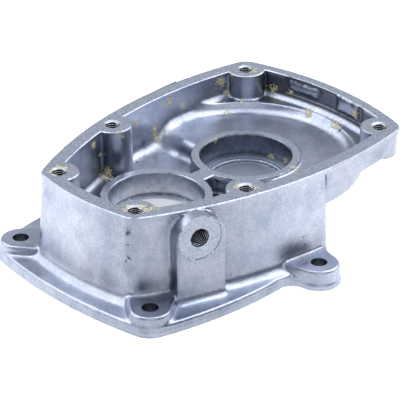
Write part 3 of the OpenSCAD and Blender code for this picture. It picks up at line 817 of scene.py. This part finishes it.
def dress_skin(skin, materials):
    """Gives the faces of the skin their materials, which are cast, milled and turned, and its points their oil stains
    and painted shade.
    """
    milled_kind, turned_kind = 1, 2
    mesh = skin.data
    mesh.materials.clear()
    for material in materials:
        mesh.materials.append(material)
    centres, up = vectors(mesh.polygons, "center") * 1000, vectors(mesh.polygons, "normal")[:, 2]
    z = centres[:, 2]
    ring = from_shafts(centres)
    seat = (ring < SEAT_R + 0.6) & (z > SEATS_Z)
    kind = np.zeros(len(centres), np.int32)
    milled = (z > HEIGHT - 0.05) | (z < 0.05) | (abs(z - RING_Z) < 0.1) & (up > 0.9)
    for at in SCREWS:
        milled |= (from_axis(centres, at) < DISH_R + 0.1) & (z > TAPPED_Z)
    port_r, port_h = round_form(centres, PORT, PORT_OUT)
    milled |= (port_r < SPOT_R + 0.1) & (abs(port_h) < 1)
    kind[milled] = milled_kind
    kind[seat & (ring > 17) & (z < RING_Z - 0.1) & (up < 0.9)] = turned_kind
    kind[seat & (z < 22) & (up > 0.9)] = milled_kind
    mesh.polygons.foreach_set("material_index", kind)
    oil_and_shade = mesh.attributes.new("oil_and_shade", "FLOAT", "POINT")
    oil_and_shade.data.foreach_set("value", oil_and_shade_places(coordinates(mesh), vertex_normals(mesh)).astype(np.float32))
    mesh.update()


# Floor and light

def pale_floor():
    """A matt white floor, plain white to the camera outside the shadow.

    In the metal it is brighter on the far side, where the light boxes stand, and greyer towards the camera, most of
    all in front of the port.
    """
    half = 6000.0
    camera_lift = 0.72
    points = np.array([[-half, -half, 0], [half, -half, 0], [half, half, 0], [-half, half, 0]])
    floor = mesh_object("floor", points, [[0, 1, 2, 3]])
    material, tree, shader = new_material("pale_floor")
    tree.nodes.remove(shader)
    matt = add(tree, "BsdfDiffuse", Color=linear("#dadada"))
    place = add(tree, "TexCoord").outputs["Object"]
    along = add(tree, "VectorMath", [(0, place), (1, (0.6, 0.6, 0.0))], operation="DOT_PRODUCT")
    fade = add(tree, "MapRange", [("Value", along.outputs["Value"])], From_Min=-0.1, From_Max=-0.035,
               To_Min=0.0, To_Max=0.68)
    spot = add(tree, "VectorMath", [(0, place), (1, (-0.04, -0.1, 0.0))], operation="DISTANCE")
    spared = add(tree, "MapRange", [("Value", spot.outputs["Value"])], From_Min=0.02, From_Max=0.055,
                 To_Min=0.1, To_Max=1.0)
    fade = add(tree, "Math", [(0, fade.outputs[0]), (1, spared.outputs[0])], operation="MULTIPLY")
    path = add(tree, "LightPath")
    mirrored = add(tree, "Math", [(0, path.outputs["Is Glossy Ray"]), (1, fade.outputs[0])], operation="MULTIPLY")
    lift = add(tree, "Math", [(0, path.outputs["Is Camera Ray"]), (1, camera_lift), (2, mirrored.outputs[0])],
               operation="MULTIPLY_ADD")
    glow = add(tree, "Emission", [("Strength", lift.outputs[0])], Color=(1, 1, 1, 1))
    both = add(tree, "AddShader", [(0, matt.outputs[0]), (1, glow.outputs[0])])
    tree.links.new(both.outputs[0], tree.nodes["Material Output"].inputs["Surface"])
    floor.data.materials.append(material)


def studio_light():
    """A studio as a sky: a broad light box on each side, a little behind the object, and a dim camera side.

    A box is (azimuth, elevation, edge, core, strength): its strength within core degrees of its direction, fading
    to none at edge degrees.
    """
    boxes = [(-22, 45, 42, 22, 1.8), (122, 42, 42, 20, 1.5), (48, 35, 60, 15, 0.45),
             (150, 15, 45, 10, 0.4), (-125, 30, 42, 15, 0.8), (46, 85, 38, 12, 1.0)]
    world = bpy.data.worlds.new("studio")
    bpy.context.scene.world = world
    world.use_nodes = True
    tree = world.node_tree
    way = add(tree, "TexCoord").outputs["Generated"]
    total = 0.0
    for azimuth, elevation, edge, core, strength in boxes:
        turn, rise = math.radians(azimuth), math.radians(elevation)
        aim = (math.cos(turn) * math.cos(rise), math.sin(turn) * math.cos(rise), math.sin(rise))
        near = add(tree, "VectorMath", [(0, way), (1, aim)], operation="DOT_PRODUCT")
        light = add(tree, "MapRange", [("Value", near.outputs["Value"])], interpolation_type="SMOOTHSTEP",
                    From_Min=math.cos(math.radians(edge)), From_Max=math.cos(math.radians(core)),
                    To_Min=0.0, To_Max=strength)
        total = add(tree, "Math", [(0, total), (1, light.outputs[0])], operation="ADD").outputs[0]
    sky = tree.nodes["Background"]
    sky.inputs["Color"].default_value = linear("#fbfcff")
    tree.links.new(total, sky.inputs["Strength"])
    room = add(tree, "Background", Color=linear("#b2c6e2"), Strength=0.2)
    both = add(tree, "AddShader", [(0, sky.outputs[0]), (1, room.outputs[0])])
    tree.links.new(both.outputs[0], tree.nodes["World Output"].inputs["Surface"])


# The scene
bpy.context.scene.view_settings.view_transform = "Standard"
place_camera()
pale_floor()
studio_light()

skin = cast_skin()
# Two copies of the turned metal: the gear seat's is darker, as painted shade, and the pinion seat's lighter, as painted
# light
turned = turned_aluminium("turned_aluminium", "#737987", "#969dab", 0.6)
painted_lit_turned = turned_aluminium("painted_lit_turned_aluminium", "#a2a9b6", "#c9cfda", 1.0)
dress_skin(skin, [die_cast_aluminium(), milled_aluminium(), turned])
tapped_in_painted_light = tapped_aluminium_painted_light()
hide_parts("housing")

residue = flakes("sealant_residue", skin, RESIDUE, 7)
residue.data.materials.append(dried_sealant())
spots = flakes("oil_spots", skin, OIL_SPOTS, 11)
spots.data.materials.append(dried_oil())

# Coarse threads of 6 mm and 10 mm: core radius, depth and pitch, then their ends and the mouth's radius
threads = [thread("cover_thread_%d" % n, np.array([at[0], at[1], HEIGHT]), UP, 2.5, 0.55, 1.0,
                  -0.48, -depth, THREAD_ROOM - 0.02) for n, (at, depth) in enumerate(zip(SCREWS, SCREW_DEPTH))]
threads.append(thread("port_thread", PORT, PORT_OUT, 3.75, 0.85, 1.5, -0.52, -13.2, PORT_MOUTH_R - 0.03))
for piece in threads:
    piece.data.materials.append(tapped_in_painted_light)

gear_cup = [(EYE_R, 19.4), (CUP_R, 19.4), (CUP_R, CUP_Z), (0, CUP_Z)]
# The gear seat's faced floor is a grey, shaded copy, and the pinion seat's faced shoulder a near white painted
# highlight
seats = [turned_seat("gear_seat", (GEAR_X, 0), seat_wall(GEAR_SEAT_Z) + gear_cup,
                     [turned, faced_aluminium("faced_aluminium", "#a8b0bf")]),
         turned_seat("pinion_seat", (PINION_X, 0), seat_wall(PINION_SEAT_Z) + [(EYE_R, EYE_Z + 0.05)],
                     [painted_lit_turned, faced_aluminium("painted_lit_faced_aluminium", "#f2f5fa")])]
for piece in [skin, residue, spots] + seats + threads:
    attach(piece, "root")
